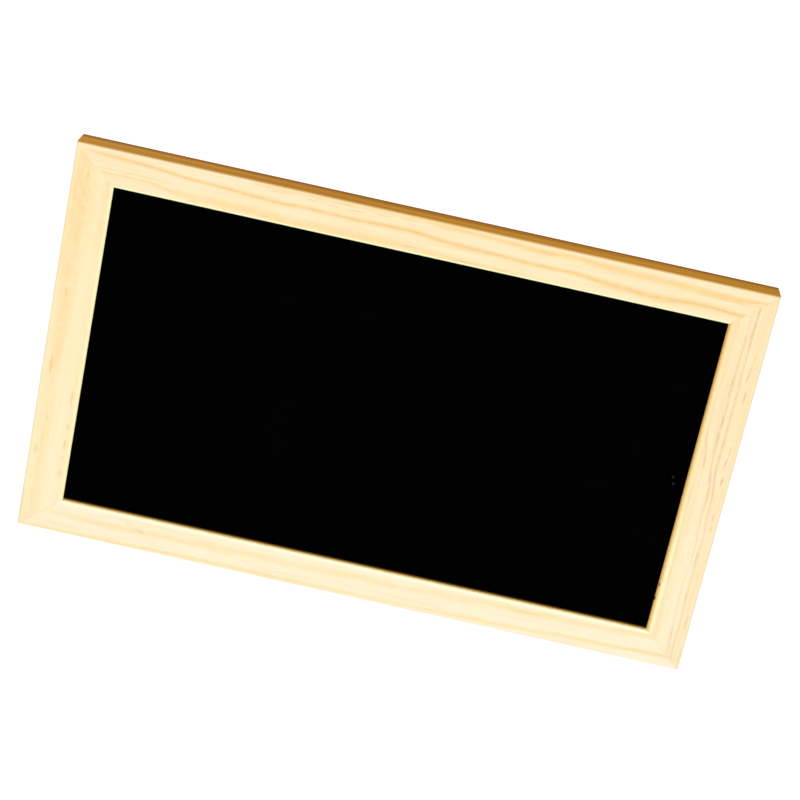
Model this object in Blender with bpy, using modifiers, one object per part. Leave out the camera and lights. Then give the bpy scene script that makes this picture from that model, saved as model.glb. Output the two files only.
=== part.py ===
"""A framed wall chalkboard, in metres with +Z up.

Four lengths of rabbeted pine moulding are mitred and pinned with pairs of V-nails. A black
writing panel lies in the rabbet under sprung tabs. Two strap hangers with D-rings and two
bumpers sit on the back. The front faces -Y, the back of the frame is the plane y = 0, and
the origin is the middle of the top rail's flat back.
"""

from math import acos, asin, atan2, cos, pi, radians, sin, sqrt, tan

import bmesh
import bpy
from mathutils import Vector

# Clearances
FIT_GAP = 0.0003
CUT_OVERRUN = 0.002

# Board and its moulding
BOARD_WIDTH = 0.450
BOARD_HEIGHT = 0.300
MOULDING_WIDTH = 0.0275
MOULDING_DEPTH = 0.0145
SIDE_LEAN = 0.0020
FRONT_ARRIS_RADIUS = 0.0012
BACK_ARRIS_RADIUS = 0.0008
SIGHT_CHAMFER_WIDTH = 0.0010
SIGHT_CHAMFER_DEPTH = 0.0008
SIGHT_ARRIS_RADIUS = 0.0005
LIP_THICKNESS = 0.0024
RABBET_WIDTH = 0.0065

# Writing panel
PANEL_THICKNESS = 0.0030
PANEL_SIDE_PLAY = 0.0010
PANEL_EDGE_RADIUS = 0.0004

# V-nails, two across each mitre
NAIL_LEG = 0.0038
NAIL_LIP = 0.0012
NAIL_SHEET = 0.0005
NAIL_HEIGHT = 0.0080
NAIL_SINK = 0.0005
NAIL_LIP_TURN = radians(24)
NAIL_PLACE_SHARES = {"outer": 0.38, "inner": 0.80}

# Sprung tabs that keep the panel in the rabbet
TAB_WIDTH = 0.0060
TAB_SHEET = 0.0005
TAB_BITE = 0.0055
TAB_POINT = 0.0030
TAB_FLAT = 0.0050
TAB_TAIL = 0.0045
TAB_TAIL_RADIUS = 0.0018
TAB_TAIL_TURN = radians(18)
RAIL_TAB_SHARES = (-0.34, 0.0, 0.34)
STILE_TAB_SHARES = (-0.25, 0.25)

# D-ring, hung from the strap's fold
RING_WIRE_RADIUS = 0.0010
RING_INNER_WIDTH = 0.0120
RING_LEG = 0.0040
RING_CORNER_RADIUS = 0.0016

# Strap hanger, folded round the ring's bar
HANGER_DROP = 0.0620
STRAP_WIDTH = 0.0100
STRAP_SHEET = 0.0008
STRAP_JOGGLE_RADIUS = 0.0015
STRAP_CORNER_RADIUS = 0.0030
STRAP_END_MARGIN = 0.0055

# Hanger screw
SCREW_DROP = 0.0190
SCREW_SHANK_RADIUS = 0.00145
SCREW_LENGTH = 0.0105
SCREW_TIP_LENGTH = 0.0030
SCREW_TIP_RADIUS = 0.0003
SCREW_HEAD_RADIUS = 0.0029
SCREW_HEAD_HEIGHT = 0.0018
SCREW_HEAD_CROWN = 0.0009
SCREW_RECESS_WIDTH = 0.0006
SCREW_RECESS_SPAN = 0.0030
SCREW_RECESS_DEPTH = 0.0009

# Wall bumper
BUMPER_RADIUS = 0.0050
BUMPER_FLAT_RADIUS = 0.0026
BUMPER_HEIGHT = 0.0036
BUMPER_SKIRT_HEIGHT = 0.0008
BUMPER_INSET = 0.0340

# Counts of facets
ARC_STEPS = 5
FOLD_STEPS = 16
BOW_STEPS = 24
TURN_STEPS = 32

# Worked out from the sizes above
LAND_WIDTH = MOULDING_WIDTH - RABBET_WIDTH - SIDE_LEAN
LAND_MIDDLE = SIDE_LEAN + LAND_WIDTH / 2
RABBET_WALL = MOULDING_WIDTH - RABBET_WIDTH
PANEL_BACK = LIP_THICKNESS + FIT_GAP + PANEL_THICKNESS
STRAP_FACE = FIT_GAP + 2 * STRAP_SHEET + FIT_GAP
FOLD_RADIUS = RING_WIRE_RADIUS + FIT_GAP + STRAP_SHEET / 2
PIVOT_DEPTH = FIT_GAP + STRAP_SHEET / 2 + FOLD_RADIUS
RING_HALF_WIDTH = RING_INNER_WIDTH / 2 + RING_WIRE_RADIUS
SIDES = {
    "top": (0, BOARD_WIDTH, BOARD_HEIGHT / 2),
    "right": (pi / 2, BOARD_HEIGHT, BOARD_WIDTH / 2),
    "bottom": (pi, BOARD_WIDTH, BOARD_HEIGHT / 2),
    "left": (3 * pi / 2, BOARD_HEIGHT, BOARD_WIDTH / 2),
}
HANDS = {"left": -1, "right": 1}
LEVELS = {"top": 1, "bottom": -1}


# Scene and collections
def clear_scene():
    for item in list(bpy.data.objects):
        bpy.data.objects.remove(item)


def new_collection(name):
    collection = bpy.data.collections.new(name)
    bpy.context.scene.collection.children.link(collection)
    return collection


def place(item, collection, parent=None, location=(0, 0, 0), rotation=(0, 0, 0)):
    collection.objects.link(item)
    item.parent = parent
    item.location = location
    item.rotation_euler = rotation
    return item


# Materials
def new_material(name, colour, roughness, metallic=0.0):
    material = bpy.data.materials.new(name)
    material.use_nodes = True
    shader = material.node_tree.nodes["Principled BSDF"]
    shader.inputs["Base Color"].default_value = (*colour, 1)
    shader.inputs["Roughness"].default_value = roughness
    shader.inputs["Metallic"].default_value = metallic
    return material


def pine_material():
    return new_material("pale_pine", (0.86, 0.66, 0.40), 0.55)


def chalk_surface_material():
    return new_material("black_chalk_surface", (0.012, 0.012, 0.013), 0.80)


def zinc_material():
    return new_material("zinc_plated_steel", (0.62, 0.62, 0.63), 0.35, 1.0)


def bright_wire_material():
    return new_material("nickel_wire", (0.70, 0.69, 0.66), 0.25, 1.0)


def spring_steel_material():
    return new_material("bare_spring_steel", (0.42, 0.43, 0.45), 0.40, 1.0)


def rubber_material():
    return new_material("grey_rubber", (0.20, 0.20, 0.21), 0.70)


# Outlines and paths
def arc_points(centre, radius, start, sweep, steps):
    angles = [start + sweep * step / steps for step in range(steps + 1)]
    return [Vector((centre[0] + radius * cos(a), centre[1] + radius * sin(a))) for a in angles]


def rounded_outline(corners):
    """The points of a closed outline through (x, y, radius) corners."""
    points = []
    for index, (x, y, radius) in enumerate(corners):
        corner = Vector((x, y))
        if not radius:
            points.append(corner)
            continue
        back = (Vector(corners[index - 1][:2]) - corner).normalized()
        ahead = (Vector(corners[(index + 1) % len(corners)][:2]) - corner).normalized()
        half_angle = back.angle(ahead) / 2
        centre = corner + (back + ahead).normalized() * (radius / sin(half_angle))
        start = corner + back * (radius / tan(half_angle)) - centre
        end = corner + ahead * (radius / tan(half_angle)) - centre
        start_angle = atan2(start.y, start.x)
        sweep = (atan2(end.y, end.x) - start_angle + pi) % (2 * pi) - pi
        points += arc_points(centre, radius, start_angle, sweep, ARC_STEPS)
    return points


def moulding_outline():
    """The moulding's section: x runs in from the outer edge, y back from the face."""
    return rounded_outline([
        (0, 0, FRONT_ARRIS_RADIUS),
        (MOULDING_WIDTH - SIGHT_CHAMFER_WIDTH, 0, SIGHT_ARRIS_RADIUS),
        (MOULDING_WIDTH, SIGHT_CHAMFER_DEPTH, 0),
        (MOULDING_WIDTH, LIP_THICKNESS, 0),
        (RABBET_WALL, LIP_THICKNESS, 0),
        (RABBET_WALL, MOULDING_DEPTH, 0),
        (SIDE_LEAN, MOULDING_DEPTH, BACK_ARRIS_RADIUS),
    ])


def nail_path(extra_leg=0):
    """A V of two legs at right angles, opening along +x, with lips bent open at the ends."""
    lip = NAIL_LIP + extra_leg
    turn = pi / 4 + NAIL_LIP_TURN
    knee = Vector((NAIL_LEG * cos(pi / 4), NAIL_LEG * sin(pi / 4)))
    tip = knee + Vector((lip * cos(turn), lip * sin(turn)))
    upper = [tip, knee]
    lower = [Vector((point.x, -point.y)) for point in reversed(upper)]
    return [*upper, Vector((0, 0)), *lower]


def tab_path():
    """The tab's bent strip: x from the rabbet wall inwards, y back from the panel's gap."""
    bend = Vector((TAB_FLAT, 0))
    tail = bend + Vector((TAB_TAIL * cos(TAB_TAIL_TURN), TAB_TAIL * sin(TAB_TAIL_TURN)))
    return [Vector((-TAB_BITE, 0)), bend, tail]


def tab_outline():
    reach = TAB_FLAT + TAB_TAIL * cos(TAB_TAIL_TURN)
    half = TAB_WIDTH / 2
    return rounded_outline([
        (-TAB_BITE, 0, 0),
        (TAB_POINT - TAB_BITE, -half, 0),
        (reach, -half, TAB_TAIL_RADIUS),
        (reach, half, TAB_TAIL_RADIUS),
        (TAB_POINT - TAB_BITE, half, 0),
    ])


def strap_path():
    """The folded strip seen from its side: x back from the frame, y up from the pivot."""
    inner = FIT_GAP + STRAP_SHEET / 2
    outer = inner + STRAP_SHEET + FIT_GAP
    low = -SCREW_DROP - STRAP_END_MARGIN - CUT_OVERRUN
    reach = FOLD_RADIUS + STRAP_JOGGLE_RADIUS
    turn = acos((outer - PIVOT_DEPTH + STRAP_JOGGLE_RADIUS) / reach)
    fold = arc_points((PIVOT_DEPTH, 0), FOLD_RADIUS, pi, -pi - turn, FOLD_STEPS)
    joggle_centre = (PIVOT_DEPTH + reach * cos(turn), -reach * sin(turn))
    joggle = arc_points(joggle_centre, STRAP_JOGGLE_RADIUS, pi - turn, turn, ARC_STEPS)
    return [Vector((inner, low)), *fold, *joggle[1:], Vector((outer, low))]


def strap_outline():
    half = STRAP_WIDTH / 2
    low = -SCREW_DROP - STRAP_END_MARGIN
    high = FOLD_RADIUS + STRAP_SHEET + CUT_OVERRUN
    return rounded_outline([
        (-half, low, STRAP_CORNER_RADIUS),
        (half, low, STRAP_CORNER_RADIUS),
        (half, high, 0),
        (-half, high, 0),
    ])


def ring_path():
    """The ring's centre line as it hangs: the bar on y = 0 and the bow below it."""
    inset = RING_HALF_WIDTH - RING_CORNER_RADIUS
    right = arc_points((inset, -RING_CORNER_RADIUS), RING_CORNER_RADIUS, pi / 2, -pi / 2, ARC_STEPS)
    bow = arc_points((0, -RING_LEG), RING_HALF_WIDTH, 0, -pi, BOW_STEPS)
    left = arc_points((-inset, -RING_CORNER_RADIUS), RING_CORNER_RADIUS, pi, -pi / 2, ARC_STEPS)
    return [*right, *bow, *left]


def ring_rest_angle():
    """How far the hanging ring leans back where its bow lies on the strap's edges."""
    half = STRAP_WIDTH / 2
    bow_drop = RING_LEG + sqrt(max(RING_HALF_WIDTH**2 - half**2, 0))
    return asin((STRAP_FACE + FIT_GAP + RING_WIRE_RADIUS - PIVOT_DEPTH) / bow_drop)


def screw_profile():
    """Half of the screw's section, from the crown of its head down to its tip."""
    skirt = SCREW_HEAD_HEIGHT - SCREW_HEAD_CROWN
    crown_angles = [pi / 2 - step * pi / 2 / ARC_STEPS for step in range(ARC_STEPS + 1)]
    crown = [
        (SCREW_HEAD_RADIUS * cos(a), skirt + SCREW_HEAD_CROWN * sin(a)) for a in crown_angles
    ]
    crown[0] = (0, SCREW_HEAD_HEIGHT)
    return [
        *crown,
        (SCREW_HEAD_RADIUS, 0),
        (SCREW_SHANK_RADIUS, 0),
        (SCREW_SHANK_RADIUS, SCREW_TIP_LENGTH - SCREW_LENGTH),
        (SCREW_TIP_RADIUS, -SCREW_LENGTH),
        (0, -SCREW_LENGTH),
    ]


def bumper_profile():
    """Half of the bumper's section, from its flat top out over the dome to its base."""
    rise = BUMPER_HEIGHT - BUMPER_SKIRT_HEIGHT
    run = BUMPER_RADIUS - BUMPER_FLAT_RADIUS
    dome = [
        (BUMPER_FLAT_RADIUS + run * sin(a), BUMPER_SKIRT_HEIGHT + rise * cos(a))
        for a in [step * pi / 2 / ARC_STEPS for step in range(ARC_STEPS + 1)]
    ]
    return [(0, BUMPER_HEIGHT), *dome, (BUMPER_RADIUS, 0), (0, 0)]


# Meshes
def curve_mesh(name, points, cyclic, depth, fill_mode):
    """The mesh of a flat curve, drawn in x and y and extruded by depth about z = 0."""
    curve = bpy.data.curves.new(name, "CURVE")
    curve.dimensions = "2D"
    curve.fill_mode = fill_mode
    curve.extrude = depth / 2
    spline = curve.splines.new("POLY")
    spline.points.add(len(points) - 1)
    for spline_point, point in zip(spline.points, points):
        spline_point.co = (point[0], point[1], 0, 1)
    spline.use_cyclic_u = cyclic
    return baked_curve(name, curve)


def baked_curve(name, curve):
    drawn = bpy.data.objects.new(f"{name}_curve", curve)
    bpy.context.scene.collection.objects.link(drawn)
    depsgraph = bpy.context.evaluated_depsgraph_get()
    mesh = bpy.data.meshes.new_from_object(drawn.evaluated_get(depsgraph))
    mesh.name = name
    bpy.data.objects.remove(drawn)
    bpy.data.curves.remove(curve)
    weld = bmesh.new()
    weld.from_mesh(mesh)
    bmesh.ops.remove_doubles(weld, verts=weld.verts, dist=FIT_GAP / 100)
    bmesh.ops.recalc_face_normals(weld, faces=weld.faces)
    weld.to_mesh(mesh)
    weld.free()
    return mesh


def smooth(mesh):
    mesh.shade_smooth()
    mesh.set_sharp_from_angle(angle=radians(32))


def prism(name, outline, depth):
    mesh = curve_mesh(name, outline, True, depth, "BOTH")
    smooth(mesh)
    return bpy.data.objects.new(name, mesh)


def bent_strip(name, path, width, sheet):
    """Sheet metal bent along a path: an open surface, thickened evenly to both sides."""
    mesh = curve_mesh(name, path, False, width, "NONE")
    smooth(mesh)
    strip = bpy.data.objects.new(name, mesh)
    solidify = strip.modifiers.new("sheet", "SOLIDIFY")
    solidify.thickness = sheet
    solidify.offset = 0
    solidify.use_even_offset = True
    return strip


def turned(name, profile):
    """A profile in x and z, spun about the z axis."""
    mesh = bpy.data.meshes.new(name)
    links = [(index, index + 1) for index in range(len(profile) - 1)]
    mesh.from_pydata([(radius, 0, height) for radius, height in profile], links, [])
    item = bpy.data.objects.new(name, mesh)
    spin = item.modifiers.new("turned", "SCREW")
    spin.steps = TURN_STEPS
    spin.render_steps = TURN_STEPS
    spin.use_merge_vertices = True
    spin.merge_threshold = FIT_GAP / 100
    spin.use_smooth_shade = True
    return item


def box(name, size):
    mesh = bpy.data.meshes.new(name)
    block = bmesh.new()
    bmesh.ops.create_cube(block, size=1)
    bmesh.ops.scale(block, vec=size, verts=block.verts)
    block.to_mesh(mesh)
    block.free()
    return bpy.data.objects.new(name, mesh)


def wire_loop(name, path, radius):
    """A closed loop of round wire along a flat path in x and y."""
    curve = bpy.data.curves.new(name, "CURVE")
    curve.dimensions = "3D"
    curve.bevel_depth = radius
    curve.bevel_resolution = 3
    spline = curve.splines.new("POLY")
    spline.points.add(len(path) - 1)
    for spline_point, point in zip(spline.points, path):
        spline_point.co = (point[0], point[1], 0, 1)
    spline.use_cyclic_u = True
    mesh = baked_curve(name, curve)
    smooth(mesh)
    return bpy.data.objects.new(name, mesh)


def apply_boolean(item, cutter, operation):
    boolean = item.modifiers.new(cutter.name, "BOOLEAN")
    boolean.operation = operation
    boolean.solver = "EXACT"
    boolean.object = cutter


def as_cutter(item, cutters, parent, location=(0, 0, 0), rotation=(0, 0, 0)):
    place(item, cutters, parent, location, rotation)
    item.hide_render = True
    item.display_type = "WIRE"
    return item


# Frame
def build_moulding(side, name, parts, cutters, centre, material):
    """One mitred length. In its own frame x runs in, y runs back and z runs along it."""
    turn, length, half_span = SIDES[side]
    rail = prism(name, moulding_outline(), length)
    rail.data.materials.append(material)
    location = (half_span * sin(turn), -MOULDING_DEPTH, half_span * cos(turn))
    place(rail, parts, centre, location, (0, pi / 2 + turn, 0))
    for end, sign in {"near": -1, "far": 1}.items():
        saw = mitre_saw(f"{name}_{end}_saw", rail, cutters, length, sign)
        apply_boolean(rail, saw, "DIFFERENCE")
    return rail


def mitre_saw(name, rail, cutters, length, sign):
    """The waste beyond the mitre, which stands off the corner's plane by half the gap."""
    side = 2 * (MOULDING_WIDTH + MOULDING_DEPTH)
    shift = (side - FIT_GAP) / 2 / sqrt(2)
    along = sign * (length / 2 - MOULDING_WIDTH / 2 + shift)
    location = (MOULDING_WIDTH / 2 + shift, MOULDING_DEPTH / 2, along)
    return as_cutter(box(name, (side, side, side)), cutters, rail, location, (0, -sign * pi / 4, 0))


def build_frame(parts, cutters, centre):
    pine = pine_material()
    names = {"top": "top_rail", "right": "right_stile", "bottom": "bottom_rail", "left": "left_stile"}
    return {
        side: build_moulding(side, name, parts, cutters, centre, pine)
        for side, name in names.items()
    }


# V-nails
def build_corner_nails(parts, cutters, centre, rails):
    steel = spring_steel_material()
    for level, up in LEVELS.items():
        for hand, across in HANDS.items():
            for place_name, share in NAIL_PLACE_SHARES.items():
                name = f"v_nail_{level}_{hand}_{place_name}"
                inset = SIDE_LEAN + LAND_WIDTH * share
                x = across * (BOARD_WIDTH / 2 - inset)
                z = up * (BOARD_HEIGHT / 2 - inset)
                rotation = (pi / 2, atan2(-up, across), 0)
                nail = bent_strip(name, nail_path(), NAIL_HEIGHT, NAIL_SHEET)
                nail.data.materials.append(steel)
                place(nail, parts, centre, (x, -NAIL_SINK - NAIL_HEIGHT / 2, z), rotation)
                kerf_depth = FIT_GAP + NAIL_HEIGHT + NAIL_SINK + CUT_OVERRUN
                kerf = bent_strip(
                    f"{name}_kerf", nail_path(FIT_GAP), kerf_depth, NAIL_SHEET + 2 * FIT_GAP
                )
                kerf_y = CUT_OVERRUN - kerf_depth / 2
                as_cutter(kerf, cutters, centre, (x, kerf_y, z), rotation)
                apply_boolean(rails[level], kerf, "DIFFERENCE")
                apply_boolean(rails[hand], kerf, "DIFFERENCE")


# Writing panel and its tabs
def build_panel(parts, centre):
    border = RABBET_WALL + PANEL_SIDE_PLAY
    size = (BOARD_WIDTH - 2 * border, PANEL_THICKNESS, BOARD_HEIGHT - 2 * border)
    panel = box("writing_panel", size)
    panel.data.materials.append(chalk_surface_material())
    edges = panel.modifiers.new("eased_edges", "BEVEL")
    edges.width = PANEL_EDGE_RADIUS
    edges.segments = 2
    depth = MOULDING_DEPTH - LIP_THICKNESS - FIT_GAP - PANEL_THICKNESS / 2
    return place(panel, parts, centre, (0, -depth, 0))


def build_tab(name, parts, cutters, rail, along, material):
    """One tab in the frame of its own rail, with the slot that its point is driven into."""
    back = PANEL_BACK + FIT_GAP + TAB_SHEET / 2
    tab = bent_strip(name, tab_path(), TAB_WIDTH + 2 * CUT_OVERRUN, TAB_SHEET)
    tab.data.materials.append(material)
    place(tab, parts, rail, (RABBET_WALL, back, along))
    blank = prism(f"{name}_blank", tab_outline(), 2 * (TAB_TAIL + TAB_SHEET + CUT_OVERRUN))
    as_cutter(blank, cutters, rail, (RABBET_WALL, back, along), (pi / 2, 0, 0))
    apply_boolean(tab, blank, "INTERSECT")
    slot_length = TAB_BITE + FIT_GAP + CUT_OVERRUN
    slot_size = (slot_length, TAB_SHEET + 2 * FIT_GAP, TAB_WIDTH + 2 * FIT_GAP)
    slot_x = RABBET_WALL + CUT_OVERRUN - slot_length / 2
    slot = as_cutter(box(f"{name}_slot", slot_size), cutters, rail, (slot_x, back, along))
    apply_boolean(rail, slot, "DIFFERENCE")


def build_tabs(parts, cutters, rails):
    steel = spring_steel_material()
    for side, rail in rails.items():
        shares = RAIL_TAB_SHARES if side in LEVELS else STILE_TAB_SHARES
        sight_length = SIDES[side][1] - 2 * MOULDING_WIDTH
        for number, share in enumerate(shares, 1):
            name = f"panel_tab_{side}_{number}"
            build_tab(name, parts, cutters, rail, sight_length * share, steel)


# Hangers
def build_strap(hand, parts, cutters, pivot, material):
    name = f"hanger_strap_{hand}"
    strap = bent_strip(name, strap_path(), STRAP_WIDTH + 2 * CUT_OVERRUN, STRAP_SHEET)
    strap.data.materials.append(material)
    place(strap, parts, pivot, (0, -PIVOT_DEPTH, 0), (pi / 2, 0, pi / 2))
    blank = prism(f"{name}_blank", strap_outline(), 4 * PIVOT_DEPTH)
    as_cutter(blank, cutters, pivot, (0, 0, 0), (pi / 2, 0, 0))
    apply_boolean(strap, blank, "INTERSECT")
    return strap


def build_ring(hand, parts, pivot, material):
    ring = wire_loop(f"hanger_ring_{hand}", ring_path(), RING_WIRE_RADIUS)
    ring.data.materials.append(material)
    return place(ring, parts, pivot, (0, 0, 0), (pi / 2 + ring_rest_angle(), 0, 0))


def build_screw(hand, parts, cutters, pivot, material):
    name = f"hanger_screw_{hand}"
    seat = (0, STRAP_FACE + FIT_GAP - PIVOT_DEPTH, -SCREW_DROP)
    screw = turned(name, screw_profile())
    screw.data.materials.append(material)
    place(screw, parts, pivot, seat, (-pi / 2, 0, 0))
    for slot_name, turn in {"wide": 0, "tall": pi / 2}.items():
        slot_size = (SCREW_RECESS_SPAN, SCREW_RECESS_WIDTH, 2 * SCREW_RECESS_DEPTH)
        slot = box(f"{name}_{slot_name}_slot", slot_size)
        as_cutter(slot, cutters, screw, (0, 0, SCREW_HEAD_HEIGHT), (0, 0, turn))
        apply_boolean(screw, slot, "DIFFERENCE")
    return screw


def build_screw_hole(hand, cutters, pivot):
    """One hole for the shank, through both layers of the strap and into the stile."""
    reach = SCREW_LENGTH + FIT_GAP
    radius = SCREW_SHANK_RADIUS + FIT_GAP
    profile = [(0, CUT_OVERRUN), (radius, CUT_OVERRUN), (radius, -reach), (0, -reach)]
    drill = turned(f"hanger_screw_{hand}_drill", profile)
    seat = (0, STRAP_FACE + FIT_GAP - PIVOT_DEPTH, -SCREW_DROP)
    return as_cutter(drill, cutters, pivot, seat, (-pi / 2, 0, 0))


def build_hanger(hand, parts, cutters, centre, stile, zinc, wire):
    pivot = bpy.data.objects.new(f"hanger_pivot_{hand}", None)
    x = HANDS[hand] * (BOARD_WIDTH / 2 - LAND_MIDDLE)
    place(pivot, parts, centre, (x, PIVOT_DEPTH, BOARD_HEIGHT / 2 - HANGER_DROP))
    strap = build_strap(hand, parts, cutters, pivot, zinc)
    build_ring(hand, parts, pivot, wire)
    build_screw(hand, parts, cutters, pivot, zinc)
    hole = build_screw_hole(hand, cutters, pivot)
    apply_boolean(strap, hole, "DIFFERENCE")
    apply_boolean(stile, hole, "DIFFERENCE")


def build_hangers(parts, cutters, centre, rails):
    zinc = zinc_material()
    wire = bright_wire_material()
    for hand in HANDS:
        build_hanger(hand, parts, cutters, centre, rails[hand], zinc, wire)


# Bumpers
def build_bumpers(parts, centre):
    rubber = rubber_material()
    for hand, across in HANDS.items():
        bumper = turned(f"wall_bumper_{hand}", bumper_profile())
        bumper.data.materials.append(rubber)
        x = across * (BOARD_WIDTH / 2 - BUMPER_INSET)
        z = LAND_MIDDLE - BOARD_HEIGHT / 2
        place(bumper, parts, centre, (x, FIT_GAP, z), (-pi / 2, 0, 0))


def even_shading(parts):
    """Large flat faces keep their own normals beside the rounded arrises and cuts."""
    for item in parts.objects:
        if item.type == "MESH":
            item.modifiers.new("even_shading", "WEIGHTED_NORMAL")


def main():
    clear_scene()
    parts = new_collection("wall_chalkboard")
    cutters = new_collection("cutters")
    centre = bpy.data.objects.new("board_centre", None)
    place(centre, parts, None, (0, 0, LAND_MIDDLE - BOARD_HEIGHT / 2))
    rails = build_frame(parts, cutters, centre)
    build_corner_nails(parts, cutters, centre, rails)
    build_panel(parts, centre)
    build_tabs(parts, cutters, rails)
    build_hangers(parts, cutters, centre, rails)
    build_bumpers(parts, centre)
    even_shading(parts)


main()
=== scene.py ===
"""The finish of the framed wall chalkboard, with its camera, light and floor.

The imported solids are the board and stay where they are. Lengths are in metres, apart from the
tables of grain and glue, which are in millimetres. Each length of moulding has its own grain,
drawn on its own axes: along it from a corner of the board, across it from the outer edge, and
back from the face.
"""

from collections import namedtuple
from math import pi, radians

import bmesh
import bpy
from mathutils import Matrix, Vector


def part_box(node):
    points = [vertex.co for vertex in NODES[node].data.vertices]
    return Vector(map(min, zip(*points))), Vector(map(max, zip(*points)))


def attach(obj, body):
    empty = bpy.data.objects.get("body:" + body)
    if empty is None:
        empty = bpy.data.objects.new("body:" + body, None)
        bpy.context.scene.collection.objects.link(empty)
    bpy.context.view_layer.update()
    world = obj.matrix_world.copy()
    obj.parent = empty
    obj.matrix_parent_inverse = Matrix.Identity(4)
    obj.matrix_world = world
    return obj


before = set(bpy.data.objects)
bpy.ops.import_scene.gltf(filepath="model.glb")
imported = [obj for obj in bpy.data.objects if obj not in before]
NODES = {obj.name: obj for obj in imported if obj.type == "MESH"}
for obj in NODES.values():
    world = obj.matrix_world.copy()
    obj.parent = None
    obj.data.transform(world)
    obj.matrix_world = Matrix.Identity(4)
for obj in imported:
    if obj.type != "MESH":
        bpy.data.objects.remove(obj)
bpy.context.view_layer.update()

MM = 0.001

# Directions
RIGHT = (1, 0, 0)
LEFT = (-1, 0, 0)
BACK = (0, 1, 0)
FRONT = (0, -1, 0)
UP = (0, 0, 1)
DOWN = (0, 0, -1)

# Places read from the frame
FACE_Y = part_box("top_rail")[0].y
LEFT_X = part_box("left_stile")[0].x
RIGHT_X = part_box("right_stile")[1].x
TOP_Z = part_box("top_rail")[1].z
BOTTOM_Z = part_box("bottom_rail")[0].z
MOULDING_WIDTH = TOP_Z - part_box("top_rail")[0].z

# Camera, at the photograph's viewing angle
CAMERA_SPOT = Vector((0.0207, -2.1538, 1.3091))
CAMERA_AIM = Vector((0.0064, -0.0145, -0.1254))
CAMERA_ROLL = radians(12.31)
CAMERA_LENS = 180.5
CAMERA_SENSOR = 36.0

# Square lamps, aimed at the same point as the camera
LAMPS = {
    "key": {"spot": (0.10, -2.70, 0.42), "size": 1.1, "power": 31.4},
    "back": {"spot": (-1.20, 2.60, 0.60), "size": 1.2, "power": 34.0},
}

# Floor and background. The values with SEEN make both white in the picture. FLOOR_GREY and
# BACKGROUND_LIGHT set the light that the two throw on the board.
FLOOR_DROP = 0.36
FLOOR_REACH = 12.0
FLOOR_GREY = 0.8
FLOOR_SEEN_GREY = 0.40
FLOOR_SEEN_GLOW = 0.74
BACKGROUND_LIGHT = 0.60
BACKGROUND_SEEN = 1.0


def srgb(red, green, blue):
    """A colour as a screen shows it, from 0 to 255, turned into the light values of a shader."""
    shares = [value / 255 for value in (red, green, blue)]
    return tuple(
        share / 12.92 if share <= 0.04045 else ((share + 0.055) / 1.055) ** 2.4 for share in shares
    )


# Colours of the pine's face
LATEWOOD = srgb(250, 208, 132)
STRAW = srgb(249, 210, 106)
REDDISH = srgb(252, 214, 152)
UMBER = srgb(225, 181, 128)
ROSY = srgb(246, 210, 168)
CREAM = srgb(254, 244, 212)
BROWN = srgb(240, 200, 128)
# Painted highlight along the sight edge
EDGE_HIGHLIGHT = srgb(255, 251, 195)
SIGHT = srgb(246, 218, 160)
# Painted shade on the right stile's sight chamfer, a lighter and a darker tone
CHAMFER_SHADE = srgb(240, 197, 117)
CHAMFER_SHADE_DARK = srgb(186, 146, 80)
PAINT = srgb(44, 30, 14)

# Colours of its outer side and arris, which are painted shade with the side's grain lines and ring, of
# the lip's inner wall, which is painted shade, and of the wood as sawn
ARRIS_SHADE = srgb(240, 188, 108)
SHADED_SIDE = srgb(212, 149, 44)
SIDE_GRAIN_AND_SHADE = srgb(154, 92, 14)
RUST = srgb(198, 124, 16)
# Painted shade on the lip's inner wall beside the panel
LIP_SHADE = srgb(146, 100, 34)
RAW = srgb(240, 212, 162)
RAW_DARK = srgb(214, 170, 108)

# Glue in the mitres, as (across, depth) points of the moulding's section set a little inside it
GLUE_THICKNESS = 0.00028
GLUE_SECTION = [
    (1.1, 0.05), (26.4, 0.05), (27.4, 0.86), (27.4, 2.20), (20.8, 2.25), (20.8, 13.9), (2.2, 13.9),
    (0.34, 1.6), (0.18, 0.9), (0.45, 0.35),
]

# The mitres: x and z of the outer corner, the way inward along both, and the tone of the glue
Mitre = namedtuple("Mitre", "x z inward_x inward_z tone")
MITRES = {
    "top_left": Mitre(LEFT_X, TOP_Z, 1, -1, srgb(252, 234, 190)),
    "top_right": Mitre(RIGHT_X, TOP_Z, -1, -1, srgb(245, 218, 168)),
    "bottom_left": Mitre(LEFT_X, BOTTOM_Z, 1, 1, srgb(240, 222, 178)),
    "bottom_right": Mitre(RIGHT_X, BOTTOM_Z, -1, 1, srgb(250, 232, 188)),
}

# Grain, and along the sight edge painted highlight and painted shade. A streak's points are
# (along, across, width, strength), and broken is the share of it that gaps take. A fleck runs from
# one (along, across) end to the other, and so does a touch of the panel's paint on the sight edge.
# A band begins at one distance across and is full at another.
Streak = namedtuple("Streak", "colour broken points")
Fleck = namedtuple("Fleck", "start end width strength")
Band = namedtuple("Band", "start full colour")

# Shares of fine lines and of fine spots in the face, and the depth at which the side's colour
# begins, in millimetres
Finish = namedtuple("Finish", "lines spots side_start")

# A length of moulding: the corner that it is measured from, the directions along and across it, a
# seed that gives it noise of its own, and its colours and grain
Rail = namedtuple(
    "Rail", "corner along inward seed base fleck_colour finish streaks flecks bands touches"
)

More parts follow.
